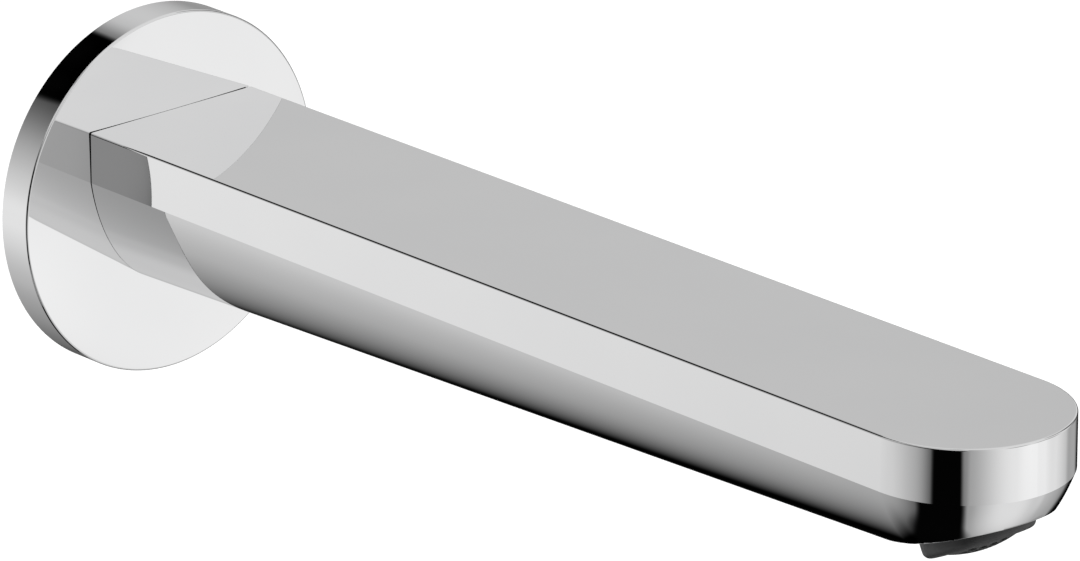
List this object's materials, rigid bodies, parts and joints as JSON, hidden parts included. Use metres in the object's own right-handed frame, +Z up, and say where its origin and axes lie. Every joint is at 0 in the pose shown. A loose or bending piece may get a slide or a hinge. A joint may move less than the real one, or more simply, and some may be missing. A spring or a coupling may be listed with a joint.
{
  "type": "bath spout",
  "caption": "Wall-mounted bath spout: a flat-topped chromed body with a rounded nose and tilted aerator, on a round wall plate and pipe nipple.",
  "frame": {"origin": "middle of the wall plate, in the plane of the finished wall, on the axis of the wall nipple", "axes": "+X out of the wall along the spout, +Z up, +Y to the right for someone who faces the wall"},
  "size_m": [0.2188, 0.06, 0.06],
  "materials": {
    "polished_chrome": "polished chrome plate on brass",
    "turned_brass": "turned, bare",
    "black_rubber": "moulded, matt",
    "grey_foam": "closed-cell foam",
    "steel": "plain stainless steel",
    "grey_plastic": "moulded, satin",
    "white_plastic": "moulded, satin"
  },
  "bodies": {
    "root": {"spout_body": "polished_chrome", "wall_plate": "polished_chrome", "wall_nipple": "turned_brass", "plate_ring": "black_rubber", "front_nipple_ring": "black_rubber", "rear_nipple_ring": "black_rubber", "aerator_washer": "black_rubber", "regulator_ring": "black_rubber", "plate_seal": "grey_foam", "grub_screw": "steel", "aerator_housing": "grey_plastic", "spray_grid": "grey_plastic", "jet_disc": "white_plastic", "regulator_body": "white_plastic", "strainer": "white_plastic"}
  },
  "joints": []
}
